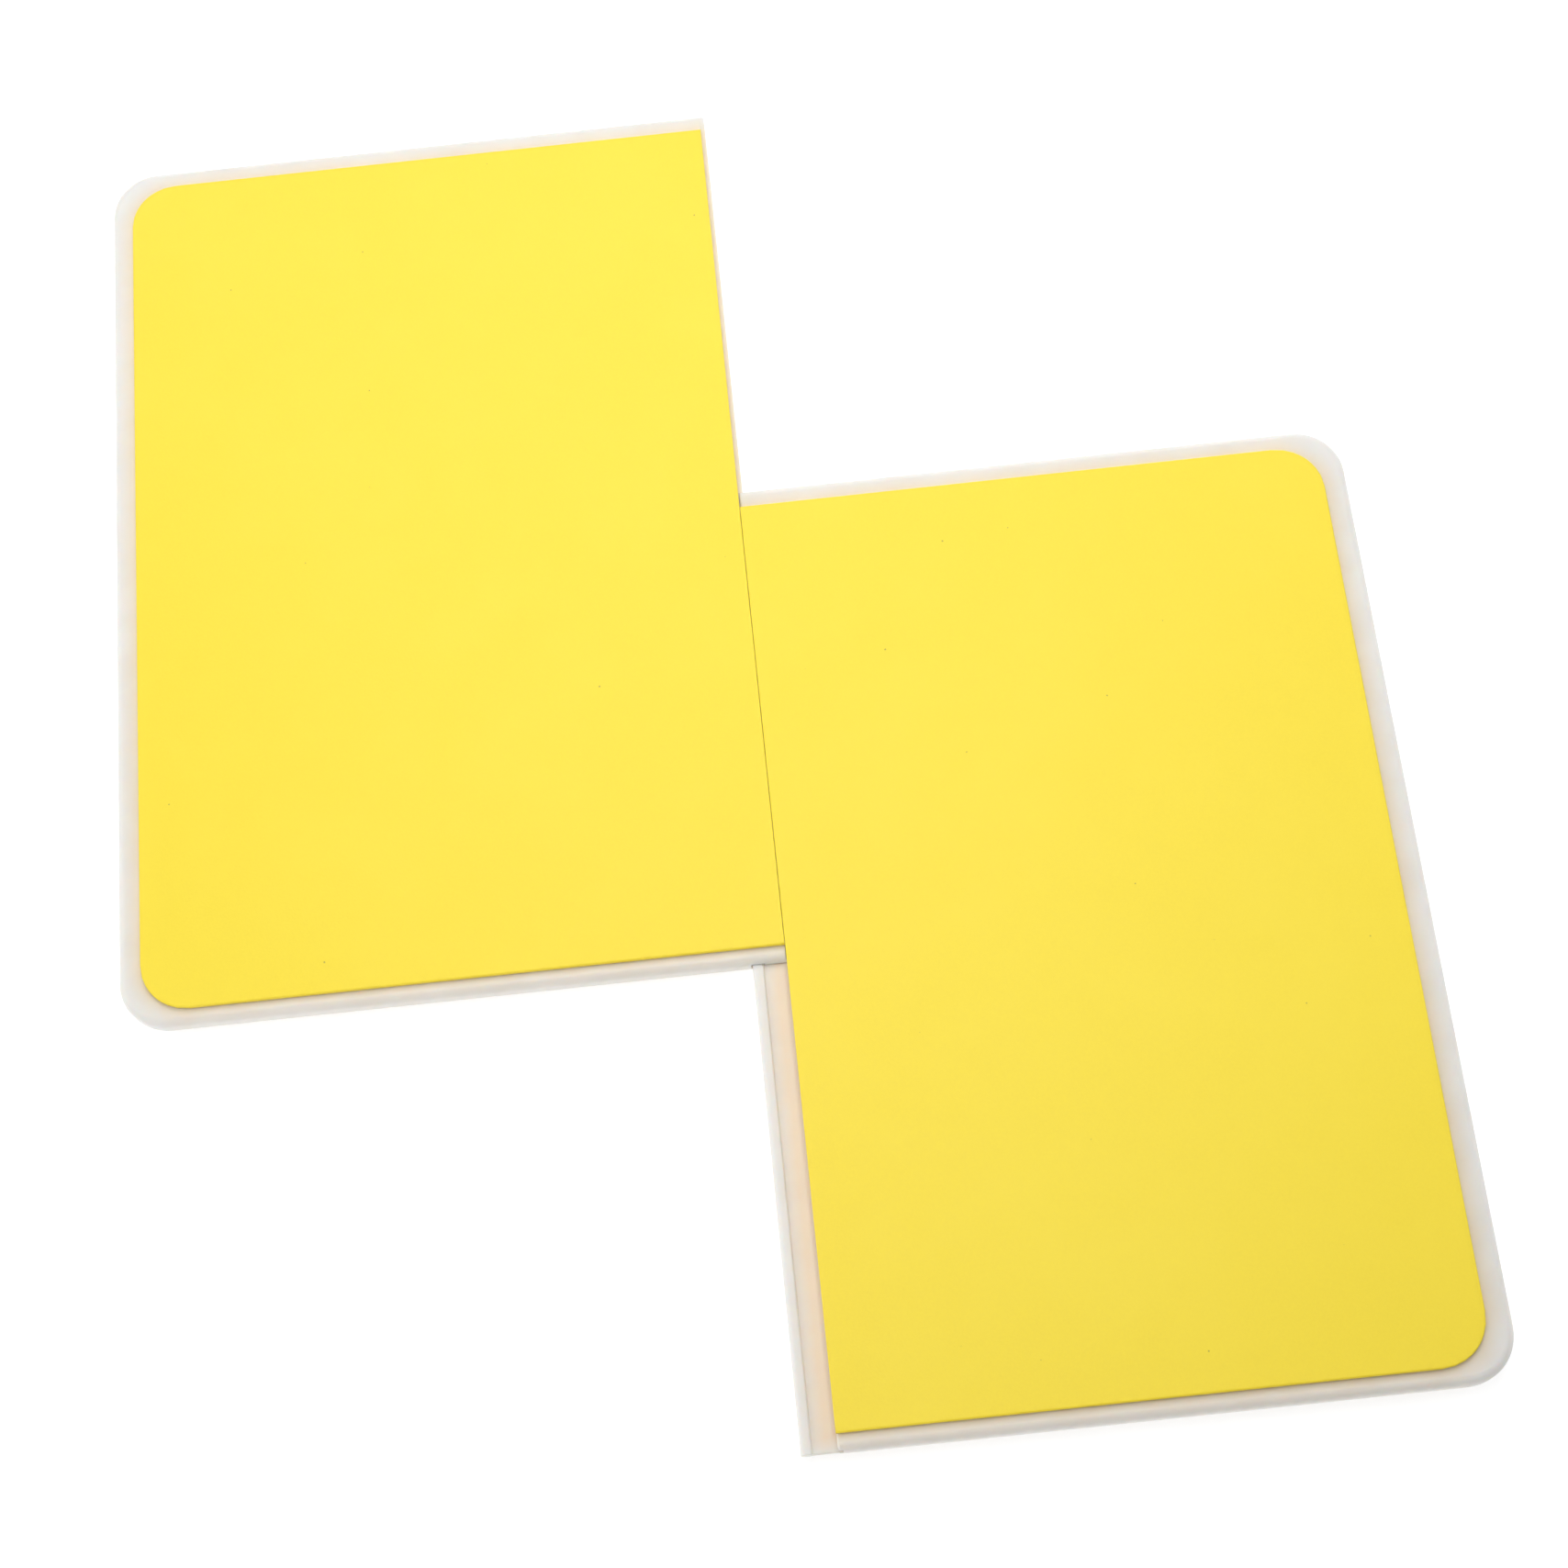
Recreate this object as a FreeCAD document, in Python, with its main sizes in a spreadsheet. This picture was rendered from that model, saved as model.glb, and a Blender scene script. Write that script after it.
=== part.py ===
import FreeCAD, Part
import os

import Sketcher

# Rebreakable practice board for martial arts: two moulded plastic halves joined by a
# sliding tongue and groove, with a thin foam pad glued to each face of each half.
#
# Frame: +Z up, the board lies flat on its back pads. +Y runs along the seam, +X across it.
# The origin is the middle of the footprint, on the surface that the board lies on. The rest
# state is half slid apart: the grooved half is towards +Y and the tongued half towards -Y.
#
# Each sub-part is drawn in the frame of its own half: x = 0 is the seam, y = 0 the middle
# of the half's length, and its Placement carries it to where it lies.

DIMENSIONS = {
    # whole board
    "board_width": 300.0,
    "board_length": 230.0,
    "seam_offset": 3.1,         # the grooved half is the wider one by twice this
    "slide_offset": 109.7,      # how far the halves are slid apart at rest
    # plastic mouldings
    "core_thickness": 6.0,
    "corner_radius": 11.5,
    "edge_round": 2.0,
    # clearances
    "seam_gap": 0.3,            # between the mouldings' faces that meet at the seam
    "pad_gap": 0.1,             # between the foam pads on either side of the seam
    "slide_gap": 0.2,           # above and below the sliding faces
    # tongued half
    "skin_thickness": 0.9,      # outer skins that cover the other half's lips
    "skin_round": 0.6,
    "neck_thickness": 1.5,
    "neck_reach": 5.3,          # from the seam to the bead
    "bead_width": 2.6,
    "bead_thickness": 2.8,
    "bead_tip_round": 1.1,
    "bead_heel_round": 0.5,
    "tongue_setback": 0.1,      # of the tongue's ends from the moulding's ends
    "tongue_end_round": 0.4,
    # grooved half
    "lip_reach": 1.0,           # of the lips past the seam
    "lip_round": 0.6,
    "socket_round": 0.6,
    # foam pads and their adhesive
    "foam_thickness": 1.0,
    "film_thickness": 0.2,
    "film_inset": 0.1,
    "pad_length": 221.2,
    "pad_corner_radius": 11.3,
    "left_pad_margin": 5.4,     # plastic left bare along the outer side
    "right_pad_margin": 5.85,
    "left_front_shift": -0.9,   # of the glued pads from the middle of the length
    "right_front_shift": -0.6,
    "back_shift": 0.0,
}

TINY = 1e-4
LEAST_CUT = 1.0     # mm3, less than any real cut takes away
OVERRUN = "2"       # how far a cutter runs past the solid that it cuts


def make_sheet(document):
    """Write the driving dimensions to a spreadsheet, one aliased cell each."""
    sheet = document.addObject("Spreadsheet::Sheet", "Dims")
    for row, (alias, value) in enumerate(DIMENSIONS.items(), start=1):
        sheet.set(f"A{row}", alias)
        sheet.set(f"B{row}", str(value))
        sheet.setAlias(f"B{row}", alias)
    document.recompute()
    return sheet


doc = FreeCAD.newDocument("RebreakableBoard")
dims = make_sheet(doc)

# Widths and heights that follow from the sheet, as expressions.
LEFT_WIDTH = "(Dims.board_width / 2 + Dims.seam_offset)"
RIGHT_WIDTH = "(Dims.board_width / 2 - Dims.seam_offset)"
HALF_LENGTH = "(Dims.board_length / 2)"
HALF_CORE = "(Dims.core_thickness / 2)"
HALF_GAP = "(Dims.seam_gap / 2)"
NECK_TOP = "(Dims.neck_thickness / 2)"
BEAD_TOP = "(Dims.bead_thickness / 2)"
BEAD_TIP = "(Dims.neck_reach + Dims.bead_width)"
LIP_INNER = f"({NECK_TOP} + Dims.slide_gap)"
SKIN_INNER = f"({HALF_CORE} - Dims.skin_thickness)"
LIP_OUTER = f"({SKIN_INNER} - Dims.slide_gap)"
SOCKET_TOP = f"({BEAD_TOP} + Dims.slide_gap)"
POCKET_DEPTH = "(Dims.lip_reach + Dims.seam_gap)"
PAD_STACK = "(Dims.foam_thickness + Dims.film_thickness)"
CORE_MIDDLE = f"({PAD_STACK} + {HALF_CORE})"


def evaluate(expression):
    """Value of an expression on the sheet, to start a sketch near its final shape."""
    return float(dims.evalExpression(expression))


def new_body(label, half, height):
    """A body in the frame of its half, with its own zero height at an expression's value."""
    body = doc.addObject("PartDesign::Body", label)
    body.Label = label
    side = "" if half == "left" else "-"
    body.setExpression("Placement.Base.x", "Dims.seam_offset")
    body.setExpression("Placement.Base.y", f"{side}Dims.slide_offset / 2")
    body.setExpression("Placement.Base.z", height)
    return body


def new_sketch(body, name, role, loops):
    """A fully constrained sketch of closed polygons, each corner a pair of expressions."""
    plane = next(f for f in body.Origin.OriginFeatures if f.Role == role)
    sketch = body.newObject("Sketcher::SketchObject", name)
    sketch.AttachmentSupport = [(plane, "")]
    sketch.MapMode = "FlatFace"
    for loop in loops:
        first = sketch.GeometryCount
        corners = [(evaluate(x), evaluate(y)) for x, y in loop]
        for start, end in zip(corners, corners[1:] + corners[:1]):
            line = Part.LineSegment(FreeCAD.Vector(*start, 0), FreeCAD.Vector(*end, 0))
            sketch.addGeometry(line, False)
        for index, (expressions, corner) in enumerate(zip(loop, corners)):
            edge = first + index
            following = first + (index + 1) % len(loop)
            sketch.addConstraint(Sketcher.Constraint("Coincident", edge, 2, following, 1))
            for kind, expression, value in zip(("DistanceX", "DistanceY"), expressions, corner):
                constraint = Sketcher.Constraint(kind, -1, 1, edge, 1, value)
                number = sketch.addConstraint(constraint)
                sketch.setExpression(f"Constraints[{number}]", expression)
    doc.recompute()
    return sketch


def rectangle(left, right, low, high):
    """Corners of an upright rectangle, from the expressions of its sides."""
    return [(left, low), (right, low), (right, high), (left, high)]


def mirrored(loop):
    """The same polygon on the other side of the sketch's horizontal axis."""
    return [(x, f"-{y}") for x, y in reversed(loop)]


def pad(body, name, sketch, length, midplane=True):
    """Extrude a sketch, to both sides of its plane unless told otherwise."""
    feature = body.newObject("PartDesign::Pad", name)
    feature.Profile = sketch
    feature.Midplane = midplane
    feature.setExpression("Length", length)
    doc.recompute()


def cut_through(body, name, sketch):
    """Cut a sketch through the whole body, to both sides of its plane."""
    volume = body.Shape.Volume
    feature = body.newObject("PartDesign::Pocket", name)
    feature.Profile = sketch
    feature.Type = "ThroughAll"
    feature.Midplane = True
    doc.recompute()
    if body.Shape.Volume > volume - LEAST_CUT:
        raise RuntimeError(f"{name} cut nothing from {body.Label}")


def round_edges(body, name, radius, chosen):
    """Fillet the edges of the body's tip for which chosen(edge) is true."""
    base = body.Tip
    names = [f"Edge{i}" for i, edge in enumerate(base.Shape.Edges, start=1) if chosen(edge)]
    if not names:
        raise RuntimeError(f"{name} found no edges on {body.Label}")
    feature = body.newObject("PartDesign::Fillet", name)
    feature.Base = (base, names)
    feature.setExpression("Radius", radius)
    doc.recompute()


def lies_at(edge, axis, value):
    """Whether the whole edge lies in the plane where the coordinate has the value."""
    low = getattr(edge.BoundBox, f"{axis}Min")
    high = getattr(edge.BoundBox, f"{axis}Max")
    return abs(low - value) < TINY and abs(high - value) < TINY


def runs_along(edge, axis):
    """Whether the edge is a straight one parallel to the axis."""
    others = "XYZ".replace(axis, "")
    return max(getattr(edge.BoundBox, f"{other}Length") for other in others) < TINY


def moulding_blank(body, inner, outer, seam_round):
    """Flat plate with round outer corners and a soft rim, seam side square but for a light round.

    inner and outer are the expressions of its seam side and of its outer side.
    """
    low, high = sorted((inner, outer), key=evaluate)
    outline = rectangle(low, high, f"-{HALF_LENGTH}", HALF_LENGTH)
    sketch = new_sketch(body, "outline", "XY_Plane", [outline])
    pad(body, "plate", sketch, "Dims.core_thickness")
    outer_x, inner_x, face_z = evaluate(outer), evaluate(inner), evaluate(HALF_CORE)
    round_edges(body, "corner_rounds", "Dims.corner_radius",
                lambda e: runs_along(e, "Z") and lies_at(e, "X", outer_x))
    round_edges(body, "rim_rounds", "Dims.edge_round",
                lambda e: (lies_at(e, "Z", face_z) or lies_at(e, "Z", -face_z))
                          and not lies_at(e, "X", inner_x))
    round_edges(body, "seam_rounds", seam_round, lambda e: lies_at(e, "X", inner_x))


def make_grooved_half():
    """Left moulding: a groove with a wide socket behind two lips, open at both ends."""
    body = new_body("grooved_board_half", "left", CORE_MIDDLE)
    moulding_blank(body, "Dims.lip_reach", f"-{LEFT_WIDTH}", "Dims.lip_round")
    past_lips = f"(Dims.lip_reach + {OVERRUN})"
    past_face = f"({HALF_CORE} + {OVERRUN})"
    mouth_floor = "-(Dims.neck_reach - Dims.seam_gap)"
    socket_floor = f"-({BEAD_TIP} + Dims.seam_gap)"
    groove = [
        (socket_floor, f"-{SOCKET_TOP}"), (mouth_floor, f"-{SOCKET_TOP}"),
        (mouth_floor, f"-{LIP_INNER}"), (past_lips, f"-{LIP_INNER}"),
        (past_lips, LIP_INNER), (mouth_floor, LIP_INNER),
        (mouth_floor, SOCKET_TOP), (socket_floor, SOCKET_TOP),
    ]
    rebate = rectangle(f"-{HALF_GAP}", past_lips, LIP_OUTER, past_face)
    profile = new_sketch(body, "groove_profile", "XZ_Plane", [groove, rebate, mirrored(rebate)])
    cut_through(body, "groove", profile)
    floor_x = evaluate(socket_floor)
    round_edges(body, "socket_rounds", "Dims.socket_round",
                lambda e: runs_along(e, "Y") and lies_at(e, "X", floor_x))
    return body


def make_tongued_half():
    """Right moulding: a beaded tongue between two slots that take the other half's lips."""
    body = new_body("tongued_board_half", "right", CORE_MIDDLE)
    moulding_blank(body, HALF_GAP, RIGHT_WIDTH, "Dims.skin_round")
    before_seam = f"-{OVERRUN}"
    slot = rectangle(before_seam, POCKET_DEPTH, NECK_TOP, SKIN_INNER)
    cut_through(body, "lip_slots",
                new_sketch(body, "slot_profile", "XZ_Plane", [slot, mirrored(slot)]))
    heel = "-Dims.neck_reach"
    tip = f"-{BEAD_TIP}"
    tongue = [
        (tip, f"-{BEAD_TOP}"), (heel, f"-{BEAD_TOP}"), (heel, f"-{NECK_TOP}"),
        (POCKET_DEPTH, f"-{NECK_TOP}"), (POCKET_DEPTH, NECK_TOP),
        (heel, NECK_TOP), (heel, BEAD_TOP), (tip, BEAD_TOP),
    ]
    profile = new_sketch(body, "tongue_profile", "XZ_Plane", [tongue])
    pad(body, "tongue", profile, "Dims.board_length - 2 * Dims.tongue_setback")
    tip_x, heel_x, bead_z = evaluate(tip), evaluate(heel), evaluate(BEAD_TOP)
    end_y = evaluate(f"{HALF_LENGTH} - Dims.tongue_setback")
    round_edges(body, "bead_tip_rounds", "Dims.bead_tip_round",
                lambda e: runs_along(e, "Y") and lies_at(e, "X", tip_x))
    round_edges(body, "bead_heel_rounds", "Dims.bead_heel_round",
                lambda e: runs_along(e, "Y") and lies_at(e, "X", heel_x)
                          and (lies_at(e, "Z", bead_z) or lies_at(e, "Z", -bead_z)))
    round_edges(body, "tongue_end_rounds", "Dims.tongue_end_round",
                lambda e: (lies_at(e, "Y", end_y) or lies_at(e, "Y", -end_y))
                          and e.BoundBox.XMin < -TINY)
    return body


def make_sheet_pad(label, half, thickness, height, shift, inset):
    """Flat sheet on one face of a half: round outer corners, square corners at the seam."""
    width, margin = (
        (LEFT_WIDTH, "Dims.left_pad_margin") if half == "left"
        else (RIGHT_WIDTH, "Dims.right_pad_margin"))
    outer = f"({width} - {margin} - {inset})"
    inner = f"(Dims.pad_gap / 2 + {inset})"
    low, high = (f"-{outer}", f"-{inner}") if half == "left" else (inner, outer)
    near = f"(Dims.{shift} - Dims.pad_length / 2 + {inset})"
    far = f"(Dims.{shift} + Dims.pad_length / 2 - {inset})"
    body = new_body(label, half, height)
    outline = rectangle(low, high, near, far)
    sketch = new_sketch(body, "outline", "XY_Plane", [outline])
    pad(body, "sheet", sketch, thickness, midplane=False)
    outer_x = evaluate(low if half == "left" else high)
    round_edges(body, "corner_rounds", f"Dims.pad_corner_radius - {inset}",
                lambda e: runs_along(e, "Z") and lies_at(e, "X", outer_x))
    return body


def make_pads():
    """Foam pad and adhesive film on the front and on the back of each half."""
    front_face = f"({PAD_STACK} + Dims.core_thickness)"
    heights = {
        "front": (front_face, f"{front_face} + Dims.film_thickness"),
        "back": ("Dims.foam_thickness", "0"),
    }
    bodies = []
    for half in ("left", "right"):
        for face, (film_height, foam_height) in heights.items():
            shift = "back_shift" if face == "back" else f"{half}_front_shift"
            bodies.append(make_sheet_pad(f"{half}_{face}_adhesive_film", half,
                                         "Dims.film_thickness", film_height, shift,
                                         "Dims.film_inset"))
            bodies.append(make_sheet_pad(f"{half}_{face}_foam_pad", half,
                                         "Dims.foam_thickness", foam_height, shift, "0"))
    return bodies


def check_document(sub_parts):
    """Stop if any object failed, or if a sub-part isn't one valid closed solid."""
    for item in doc.Objects:
        if "Invalid" in item.State or "Error" in item.State:
            raise RuntimeError(f"{item.Name} failed: {item.State}")
    for body in sub_parts:
        shape = body.Shape
        if shape.isNull() or not shape.isValid() or len(shape.Solids) != 1:
            raise RuntimeError(f"{body.Label} isn't one valid solid")


parts = [make_grooved_half(), make_tongued_half()] + make_pads()
doc.recompute()
check_document(parts)

os.makedirs("parts", exist_ok=True)
for part in parts:
    part.Shape.exportStep(os.path.join("parts", f"{part.Label}.step"))
    box = part.Shape.BoundBox
    print(f"{part.Label}: {part.Shape.Volume:.1f} mm3, "
          f"x {box.XMin:.2f} to {box.XMax:.2f}, y {box.YMin:.2f} to {box.YMax:.2f}, "
          f"z {box.ZMin:.2f} to {box.ZMax:.2f}")
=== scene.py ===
import math

import bpy
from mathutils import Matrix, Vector, noise


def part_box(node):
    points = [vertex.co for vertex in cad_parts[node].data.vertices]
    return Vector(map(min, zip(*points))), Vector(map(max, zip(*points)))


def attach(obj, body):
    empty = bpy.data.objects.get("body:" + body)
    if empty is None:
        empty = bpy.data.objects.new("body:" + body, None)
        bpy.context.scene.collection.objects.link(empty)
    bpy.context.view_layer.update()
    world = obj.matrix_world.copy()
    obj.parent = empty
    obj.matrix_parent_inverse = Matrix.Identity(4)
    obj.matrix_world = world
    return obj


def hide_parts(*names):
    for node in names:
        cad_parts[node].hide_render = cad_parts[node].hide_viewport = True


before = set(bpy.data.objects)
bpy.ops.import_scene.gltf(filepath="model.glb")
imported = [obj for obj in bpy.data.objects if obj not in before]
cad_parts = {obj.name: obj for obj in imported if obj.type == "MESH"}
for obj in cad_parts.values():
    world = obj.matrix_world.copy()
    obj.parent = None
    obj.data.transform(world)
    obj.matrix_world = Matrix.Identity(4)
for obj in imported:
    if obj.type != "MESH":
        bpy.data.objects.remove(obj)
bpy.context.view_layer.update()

MM = 0.001

# ---------------------------------------------------------------- camera

CAMERA_PLACE = (0.008387, -0.233530, 0.572090)
CAMERA_TURN = (20.8084, 2.3178, -5.6355)    # degrees about x, y and z
CAMERA_LENS = 59.484                        # mm, on a sensor 36 mm wide

camera_data = bpy.data.cameras.new("camera")
camera_data.lens = CAMERA_LENS
camera_data.sensor_width = 36.0
camera = bpy.data.objects.new("camera", camera_data)
camera.location = CAMERA_PLACE
camera.rotation_euler = [math.radians(turn) for turn in CAMERA_TURN]
bpy.context.scene.collection.objects.link(camera)
bpy.context.scene.camera = camera


# ---------------------------------------------------------------- materials

class Graph:
    """The node tree of one procedural material. Lengths in it are in metres."""

    def __init__(self, name):
        self.material = bpy.data.materials.new(name)
        self.material.use_nodes = True
        self.tree = self.material.node_tree
        self.bsdf = self.tree.nodes["Principled BSDF"]
        self.place = self.add("ShaderNodeTexCoord").outputs["Object"]

    def add(self, kind, inputs=(), **settings):
        node = self.tree.nodes.new(kind)
        for key, value in settings.items():
            setattr(node, key, value)
        for key, value in dict(inputs).items():
            self.feed(node.inputs[key], value)
        return node

    def feed(self, socket, value):
        if isinstance(value, bpy.types.NodeSocket):
            self.tree.links.new(value, socket)
        else:
            socket.default_value = value

    def surface(self, **values):
        for key, value in values.items():
            self.feed(self.bsdf.inputs[key.replace("_", " ")], value)

    def math(self, operation, *values):
        node = self.add("ShaderNodeMath", operation=operation)
        for socket, value in zip(node.inputs, values):
            self.feed(socket, value)
        return node.outputs[0]

    def axis(self, name, vector=None):
        node = self.add("ShaderNodeSeparateXYZ", {"Vector": vector or self.place})
        return node.outputs[name]

    def stretched(self, scales):
        node = self.add("ShaderNodeMapping", {"Vector": self.place, "Scale": scales})
        return node.outputs["Vector"]

    def noise(self, size, detail=2.0, roughness=0.5, vector=None):
        """Noise from 0 to 1 whose blotches are about size across."""
        inputs = {"Vector": vector or self.place, "Scale": 1 / size,
                  "Detail": detail, "Roughness": roughness}
        return self.add("ShaderNodeTexNoise", inputs).outputs["Fac"]

    def cells(self, size, feature="F1", output="Distance", dimensions="3D"):
        inputs = {"Vector": self.place, "Scale": 1 / size}
        node = self.add("ShaderNodeTexVoronoi", inputs, feature=feature,
                        voronoi_dimensions=dimensions)
        return node.outputs[output]

    def ramp(self, value, start, end, low=0.0, high=1.0, smooth=True):
        """low where value is at start or before it, high at end or after it."""
        inputs = {"Value": value, "From Min": start, "From Max": end,
                  "To Min": low, "To Max": high}
        kind = "SMOOTHSTEP" if smooth else "LINEAR"
        return self.add("ShaderNodeMapRange", inputs, interpolation_type=kind).outputs["Result"]

    def mix(self, factor, first, second, blend="MIX"):
        node = self.add("ShaderNodeMix", data_type="RGBA", blend_type=blend)
        for index, value in ((0, factor), (6, first), (7, second)):
            self.feed(node.inputs[index], value)
        return node.outputs[2]

    def bump(self, height, distance, strength, normal=None):
        node = self.add("ShaderNodeBump", {"Height": height, "Distance": distance,
                                           "Strength": strength})
        if normal:
            self.feed(node.inputs["Normal"], normal)
        return node.outputs["Normal"]

    def outside(self, low, high, corner, outer):
        """Distance outside a rectangle in plan, whose corners are round on its outer side.

        outer is 1 where that side is towards +X and -1 where it is towards -X.
        """
        half = [(high[i] - low[i]) / 2 for i in (0, 1)]
        across, along = (self.math("SUBTRACT", self.axis("XY"[i]), (high[i] + low[i]) / 2)
                         for i in (0, 1))
        is_outer = self.math("GREATER_THAN", self.math("MULTIPLY", across, outer), 0.0)
        radius = self.math("MULTIPLY", is_outer, corner)
        reach = [self.math("ADD", self.math("SUBTRACT", self.math("ABSOLUTE", value), size), radius)
                 for value, size in ((across, half[0]), (along, half[1]))]
        beyond = [self.math("MAXIMUM", value, 0.0) for value in reach]
        length = self.math("SQRT", self.math("ADD", self.math("POWER", beyond[0], 2.0),
                                             self.math("POWER", beyond[1], 2.0)))
        inner = self.math("MINIMUM", self.math("MAXIMUM", reach[0], reach[1]), 0.0)
        return self.math("SUBTRACT", self.math("ADD", length, inner), radius)


FOAM_YELLOW = (0.950, 0.740, 0.031, 1)
FOAM_DEEP = (0.935, 0.725, 0.028, 1)
FOAM_PALE = (0.955, 0.750, 0.038, 1)
SPECK = (0.22, 0.16, 0.04, 1)
SPECK_CELL = 17 * MM        # at most one speck to a cell
SPECK_SHARE = 0.25          # share of the cells that hold one
SPECK_SIZE = 0.016          # radius of the largest, as a part of a cell's width
SPECK_STRENGTH = 0.50


def foam_material():
    """Matt EVA foam: a fine closed-cell pebble, open cells on its cut edges, a little dirt."""
    g = Graph("yellow_eva_foam")
    grain = g.noise(0.55 * MM, detail=3.0, roughness=0.65)
    cloud = g.noise(22 * MM, detail=3.0)
    body = g.mix(g.ramp(grain, 0.32, 0.68), FOAM_DEEP, FOAM_YELLOW)
    body = g.mix(g.ramp(cloud, 0.35, 0.75, high=0.45), body, FOAM_PALE)

    reach = g.cells(SPECK_CELL, dimensions="2D")
    chance = g.axis("X", g.cells(SPECK_CELL, output="Color", dimensions="2D"))
    size = g.ramp(chance, 1 - SPECK_SHARE, 1.0, high=SPECK_SIZE, smooth=False)
    speck = g.math("LESS_THAN", g.math("ADD", reach, g.ramp(grain, 0.3, 0.7, high=0.004)), size)
    body = g.mix(g.math("MULTIPLY", speck, SPECK_STRENGTH), body, SPECK)

    pebble = g.cells(0.42 * MM, feature="SMOOTH_F1")
    fine = g.noise(0.22 * MM, detail=2.0)
    skin = g.math("ADD", g.math("MULTIPLY", pebble, 0.6), g.math("MULTIPLY", fine, 0.4))
    normal = g.bump(skin, 0.030 * MM, 0.8)
    facing = g.math("ABSOLUTE", g.axis("Z", g.add("ShaderNodeNewGeometry").outputs["Normal"]))
    on_cut = g.ramp(facing, 0.75, 0.35)
    pores = g.math("MULTIPLY", g.cells(0.20 * MM), on_cut)
    normal = g.bump(pores, 0.04 * MM, 0.6, normal)

    g.surface(Base_Color=body, Normal=normal, Specular_IOR_Level=0.50,
              Roughness=g.ramp(grain, 0.3, 0.7, 0.46, 0.56),
              Sheen_Weight=0.08, Sheen_Roughness=0.5)
    return g.material


MILKY = (0.805, 0.795, 0.765, 1)
MILKY_DULL = (0.785, 0.775, 0.745, 1)
# painted light: warm bounce off the yellow foam, with its red raised a little to lighten the shade
# beside the pads
FOAM_BOUNCE_TINT = (1.02, 0.895, 0.745, 1)
PARTING_HEIGHT = 4.2 * MM


def plastic_material(name, low, high, outer):
    """Milky moulded polypropylene, with painted warm bounce light from the yellow foam next to the
    pads.

    low and high are the corners of the plan area that the painted foam bounce surrounds.
    """
    g = Graph(name)
    cloud = g.noise(9 * MM, detail=3.0)
    body = g.mix(g.ramp(cloud, 0.3, 0.7), MILKY_DULL, MILKY)
    away = g.outside(low, high, PAD_CORNER, outer)
    away = g.math("ADD", away, g.ramp(cloud, 0.3, 0.7, -0.25 * MM, 0.25 * MM))
    # painted light: the foam-bounce tint, full at the pads and gone about 5 mm out from them
    near = g.ramp(away, 0.2 * MM, 5.2 * MM, 1.0, 0.0, smooth=False)
    body = g.mix(g.math("POWER", near, 1.5), body, g.mix(1.0, body, FOAM_BOUNCE_TINT, "MULTIPLY"))

    texture = g.noise(0.28 * MM, detail=3.0, roughness=0.6)
    normal = g.bump(texture, 0.008 * MM, 0.6)
    rubs = g.noise(1.6 * MM, detail=4.0, roughness=0.7, vector=g.stretched((1.0, 0.10, 1.0)))
    normal = g.bump(g.ramp(rubs, 0.60, 0.66), 0.004 * MM, 0.3, normal)
    off_line = g.math("ABSOLUTE", g.math("SUBTRACT", g.axis("Z"), PARTING_HEIGHT))
    normal = g.bump(g.ramp(off_line, 0.05 * MM, 0.14 * MM, 1.0, 0.0), 0.02 * MM, 0.3, normal)

    g.surface(Base_Color=body, Normal=normal, Specular_IOR_Level=0.25,
              Roughness=g.math("ADD", g.ramp(cloud, 0.3, 0.7, 0.34, 0.40),
                               g.ramp(rubs, 0.60, 0.70, 0.0, 0.10)),
              Subsurface_Weight=0.50, Subsurface_Radius=(1.0, 0.72, 0.50),
              Subsurface_Scale=2.2 * MM)
    return g.material


def film_material():
    """Clear glue layer, faintly cloudy with small trapped bubbles."""
    g = Graph("cloudy_adhesive")
    cloud = g.noise(3 * MM, detail=4.0)
    body = g.mix(g.ramp(cloud, 0.35, 0.65), (0.80, 0.76, 0.60, 1), (0.88, 0.86, 0.74, 1))
    normal = g.bump(g.cells(0.8 * MM), 0.03 * MM, 0.6)
    g.surface(Base_Color=body, Normal=normal, Roughness=g.ramp(cloud, 0.3, 0.7, 0.18, 0.34))
    return g.material


PAPER = (0.505, 0.505, 0.505, 1)
PAPER_DULL = (0.495, 0.495, 0.495, 1)
FLOOR_GLOW = 0.70           # the floor's own light, so that it comes out plain white


def floor_material():
    """Pale matt studio floor, with the faint unevenness of rolled paper."""
    g = Graph("studio_floor")
    body = g.mix(g.ramp(g.noise(180 * MM), 0.3, 0.7), PAPER_DULL, PAPER)
    g.surface(Base_Color=body, Roughness=0.9, Specular_IOR_Level=0.1,
              Emission_Color=(1, 1, 1, 1), Emission_Strength=FLOOR_GLOW)
    return g.material


# ---------------------------------------------------------------- foam pads

PAD_CORNER = 11.3 * MM
EDGE_ROUND = 0.40 * MM      # where the cutting die drew the foam's skin down
SEAM_ROUND = 0.10 * MM      # the same along the seam, where the cut is cleaner
WALL_HOLLOW = 0.03 * MM     # how far a cut edge springs back at the middle of its height
WAVE_DEPTH = 0.035 * MM     # of the shallow unevenness left by the glue
WAVE_LENGTH = 38 * MM
WAVE_MARGIN = 4 * MM        # along the edges, where the foam is pressed flat
GRID_PITCH = 3.5 * MM
NEAR_EDGE = (0.6, 1.2, 2.4, 4.5, 7.5)       # further grid lines, in mm from an edge
ROUND_STEPS = 4
WALL_LEVELS = (0.3, 0.6, 0.85, 1.0)         # down a cut edge, as parts of its height
SHARP_ANGLE = 50                            # degrees


def edge_insets(edge_round):
    """Distances of the grid's lines from an edge, close together in its round."""
    turns = [math.radians(90 * step / ROUND_STEPS) for step in range(ROUND_STEPS + 1)]
    insets = [edge_round * (1 - math.cos(turn)) for turn in turns]
    return insets + [inset * MM for inset in NEAR_EDGE] + [PAD_CORNER]


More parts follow.
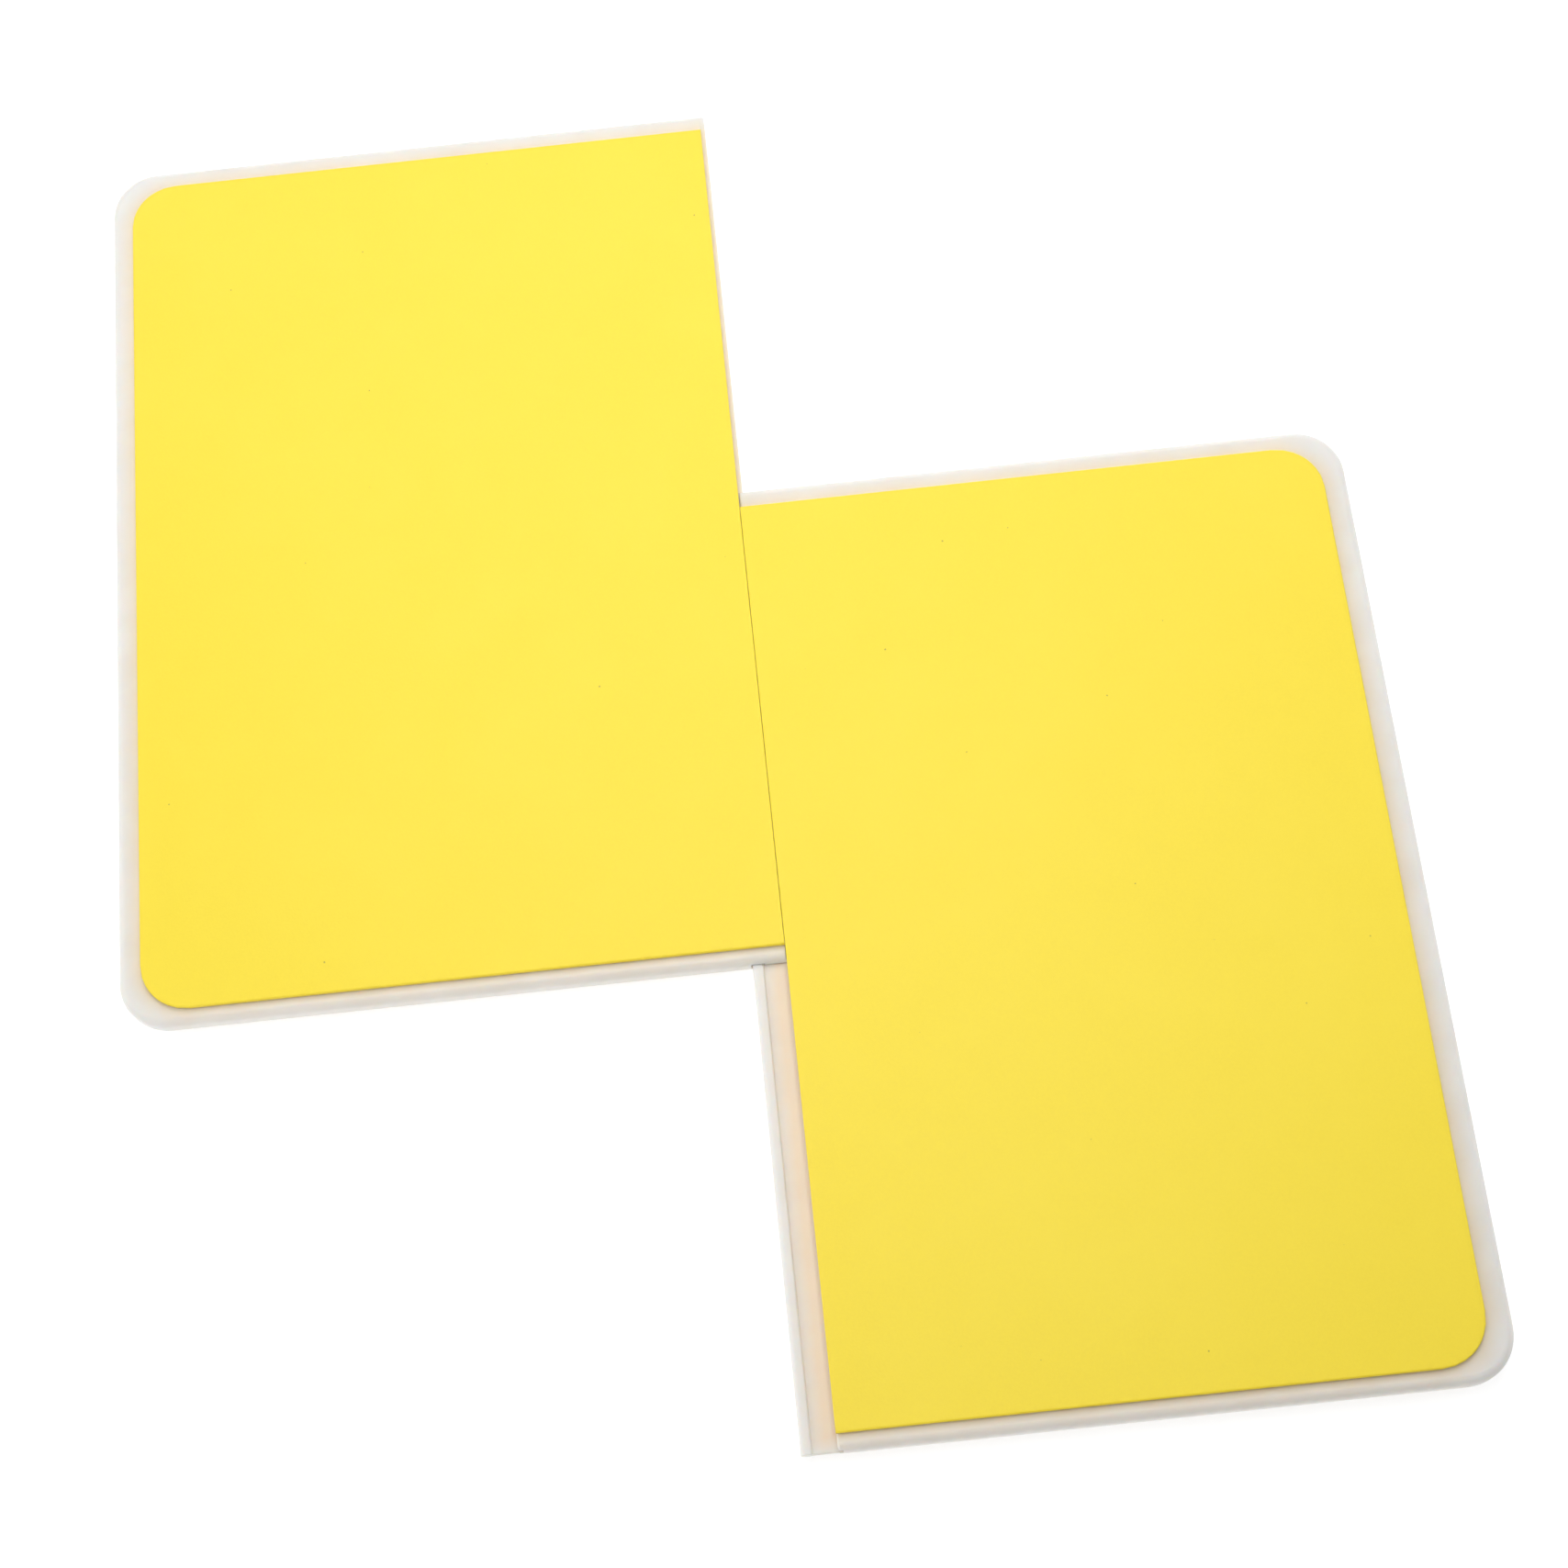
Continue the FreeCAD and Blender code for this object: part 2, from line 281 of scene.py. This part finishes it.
def grid_lines(low, high, low_round, high_round):
    """Positions from low to high, close together near both ends."""
    span = high - low - 2 * PAD_CORNER
    count = max(1, round(span / GRID_PITCH))
    middle = [low + PAD_CORNER + span * step / count for step in range(1, count)]
    return ([low + inset for inset in edge_insets(low_round)] + middle
            + [high - inset for inset in edge_insets(high_round)[::-1]])


def round_corner(from_side, from_end):
    """Moves a point near a square corner on to rings about the round one."""
    inset = min(from_side, from_end)
    ring = PAD_CORNER - inset
    if ring <= 0 or max(from_side, from_end) >= PAD_CORNER:
        return from_side, from_end
    along = (max(from_side, from_end) - inset) / ring
    turn = math.radians(45 * (1 - along))
    flat, deep = PAD_CORNER - ring * math.cos(turn), PAD_CORNER - ring * math.sin(turn)
    return (flat, deep) if from_side <= from_end else (deep, flat)


def round_drop(inset, edge_round):
    """How far a round edge has fallen at a distance in from it."""
    lack = max(0.0, edge_round - inset)
    return edge_round - math.sqrt(edge_round ** 2 - lack ** 2)


def surface_drop(x, y, from_side, from_end, side_round, seed):
    """How far the foam's face lies below its highest level."""
    level = (noise.noise(Vector((x, y, seed * WAVE_LENGTH)) / WAVE_LENGTH) + 1) / 2
    wave = WAVE_DEPTH * level * min(1.0, min(from_side, from_end) / WAVE_MARGIN)
    return wave + max(round_drop(from_side, side_round), round_drop(from_end, EDGE_ROUND))


def face_points(low, high, columns, rows, outer, face, seed):
    """Points of the face that shows, row by row, with its outer corners made round."""
    shown = high.z if face > 0 else low.z
    points = []
    for y in rows:
        from_end = min(y - low.y, high.y - y)
        for x in columns:
            from_outer = high.x - x if outer > 0 else x - low.x
            from_side = min(x - low.x, high.x - x)
            side, end = (round_corner(from_side, from_end) if from_outer == from_side
                         else (from_side, from_end))
            px = low.x + side if x - low.x <= high.x - x else high.x - side
            py = low.y + end if y - low.y <= high.y - y else high.y - end
            side_round = EDGE_ROUND if from_outer == from_side else SEAM_ROUND
            drop = surface_drop(px, py, from_side, from_end, side_round, seed)
            points.append((px, py, shown - face * drop))
    return points


def rim_of_grid(wide, tall):
    """Indices of a grid's outermost points, once round."""
    return (list(range(wide)) + [j * wide + wide - 1 for j in range(1, tall)]
            + [(tall - 1) * wide + i for i in range(wide - 2, -1, -1)]
            + [j * wide for j in range(tall - 2, 0, -1)])


def add_cut_edge(points, faces, rim, glued):
    """Adds the slightly hollow wall from the rim to the glued side, and closes that side."""
    inward = []
    for k in range(len(rim)):
        before, after = points[rim[k - 1]], points[rim[(k + 1) % len(rim)]]
        inward.append(Vector((before[1] - after[1], after[0] - before[0])).normalized())
    ring = rim
    for level in WALL_LEVELS:
        hollow = WALL_HOLLOW * math.sin(math.pi * level)
        below = list(range(len(points), len(points) + len(rim)))
        for index, way in zip(rim, inward):
            x, y, top = points[index]
            points.append((x + hollow * way.x, y + hollow * way.y,
                           top + (glued - top) * level))
        for k in range(len(rim)):
            following = (k + 1) % len(rim)
            faces.append((ring[k], below[k], below[following], ring[following]))
        ring = below
    faces.append(tuple(ring[::-1]))


def make_foam_pad(name, node, outer, face, seed):
    """Die-cut foam sheet in the place of the CAD pad.

    outer is the X direction of its round corners, and face the Z direction that it shows.
    """
    low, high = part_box(node)
    low_round, high_round = (SEAM_ROUND, EDGE_ROUND) if outer > 0 else (EDGE_ROUND, SEAM_ROUND)
    columns = grid_lines(low.x, high.x, low_round, high_round)
    rows = grid_lines(low.y, high.y, EDGE_ROUND, EDGE_ROUND)
    wide, tall = len(columns), len(rows)
    points = face_points(low, high, columns, rows, outer, face, seed)
    faces = [(j * wide + i, j * wide + i + 1, (j + 1) * wide + i + 1, (j + 1) * wide + i)
             for j in range(tall - 1) for i in range(wide - 1)]
    add_cut_edge(points, faces, rim_of_grid(wide, tall), low.z if face > 0 else high.z)
    if face < 0:
        faces = [tuple(reversed(corners)) for corners in faces]

    mesh = bpy.data.meshes.new(name)
    mesh.from_pydata(points, [], faces)
    mesh.validate()
    mesh.shade_smooth()
    mesh.set_sharp_from_angle(angle=math.radians(SHARP_ANGLE))
    piece = bpy.data.objects.new(name, mesh)
    bpy.context.scene.collection.objects.link(piece)
    return piece


def finish_with(piece, material):
    piece.data.materials.clear()
    piece.data.materials.append(material)


foam = foam_material()
for half, outer in (("left", -1), ("right", 1)):
    for face_name, face in (("front", 1), ("back", -1)):
        node = f"{half}_{face_name}_foam_pad"
        pad = make_foam_pad(f"{half}_{face_name}_foam", node, outer, face, seed=3 * outer + face)
        finish_with(pad, foam)
        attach(pad, f"{half}_half")
        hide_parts(node)

# ---------------------------------------------------------------- plastic and glue

NECK_BOUNCE_SPAN = 2.2 * MM        # how far over the tongue's neck the painted foam bounce stays full

left_low, left_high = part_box("left_front_foam_pad")
right_low, right_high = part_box("right_front_foam_pad")
mouldings = {
    "grooved_board_half": plastic_material("milky_plastic_left", left_low, left_high, -1),
    "tongued_board_half": plastic_material(
        "milky_plastic_right", (right_low.x - NECK_BOUNCE_SPAN, right_low.y), right_high, 1),
}
glue = film_material()
for node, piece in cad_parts.items():
    if node in mouldings:
        finish_with(piece, mouldings[node])
    elif node.endswith("adhesive_film"):
        finish_with(piece, glue)

# ---------------------------------------------------------------- floor and light

FLOOR_SIDE = 20.0           # half its width
FLOOR_DROP = 0.02 * MM

floor_mesh = bpy.data.meshes.new("floor")
floor_mesh.from_pydata([(x, y, -FLOOR_DROP) for x, y in (
    (-FLOOR_SIDE, -FLOOR_SIDE), (FLOOR_SIDE, -FLOOR_SIDE),
    (FLOOR_SIDE, FLOOR_SIDE), (-FLOOR_SIDE, FLOOR_SIDE))], [], [(0, 1, 2, 3)])
floor = bpy.data.objects.new("floor", floor_mesh)
bpy.context.scene.collection.objects.link(floor)
finish_with(floor, floor_material())

# name: place, what it points at, width, depth and power
SOFTBOXES = {
    "overhead": ((0.0, 0.03, 0.60), (0.0, 0.03, 0.0), 0.45, 0.45, 2.03),
    "far": ((0.02, 0.60, 0.66), (0.0, 0.10, 0.0), 1.00, 0.35, 3.9),
    "left": ((-0.80, 0.10, 0.40), (0.0, 0.0, 0.0), 0.50, 0.50, 1.7),
    "right": ((0.80, 0.10, 0.40), (0.0, 0.0, 0.0), 0.50, 0.50, 1.5),
    "near": ((-0.40, -0.62, 0.22), (-0.08, -0.06, 0.0), 0.40, 0.40, 1.1),
}
HORIZON = 1.0               # brightness of the studio's walls
ZENITH = 0.0                # and of its ceiling
CEILING_HEIGHT = 0.5        # sine of the elevation from which the ceiling is even


def make_softbox(name, place, target, width, depth, power):
    data = bpy.data.lights.new(name, "AREA")
    data.shape = "RECTANGLE"
    data.size, data.size_y = width, depth
    data.energy = power
    lamp = bpy.data.objects.new(name, data)
    lamp.visible_camera = False
    lamp.location = place
    aim = Vector(target) - Vector(place)
    lamp.rotation_euler = aim.to_track_quat("-Z", "Y").to_euler()
    bpy.context.scene.collection.objects.link(lamp)


def make_world():
    """Soft light from all round, brighter from the walls than from the ceiling."""
    world = bpy.data.worlds.new("studio")
    world.use_nodes = True
    nodes, links = world.node_tree.nodes, world.node_tree.links
    way = nodes.new("ShaderNodeSeparateXYZ")
    links.new(nodes.new("ShaderNodeTexCoord").outputs["Generated"], way.inputs["Vector"])
    level = nodes.new("ShaderNodeMapRange")
    level.interpolation_type = "SMOOTHSTEP"
    level.inputs["From Max"].default_value = CEILING_HEIGHT
    level.inputs["To Min"].default_value = HORIZON
    level.inputs["To Max"].default_value = ZENITH
    links.new(way.outputs["Z"], level.inputs["Value"])
    links.new(level.outputs["Result"], nodes["Background"].inputs["Strength"])
    nodes["Background"].inputs["Color"].default_value = (1.0, 1.0, 1.0, 1)
    return world


for name, settings in SOFTBOXES.items():
    make_softbox(name, *settings)
bpy.context.scene.world = make_world()
bpy.context.scene.view_settings.view_transform = "Standard"
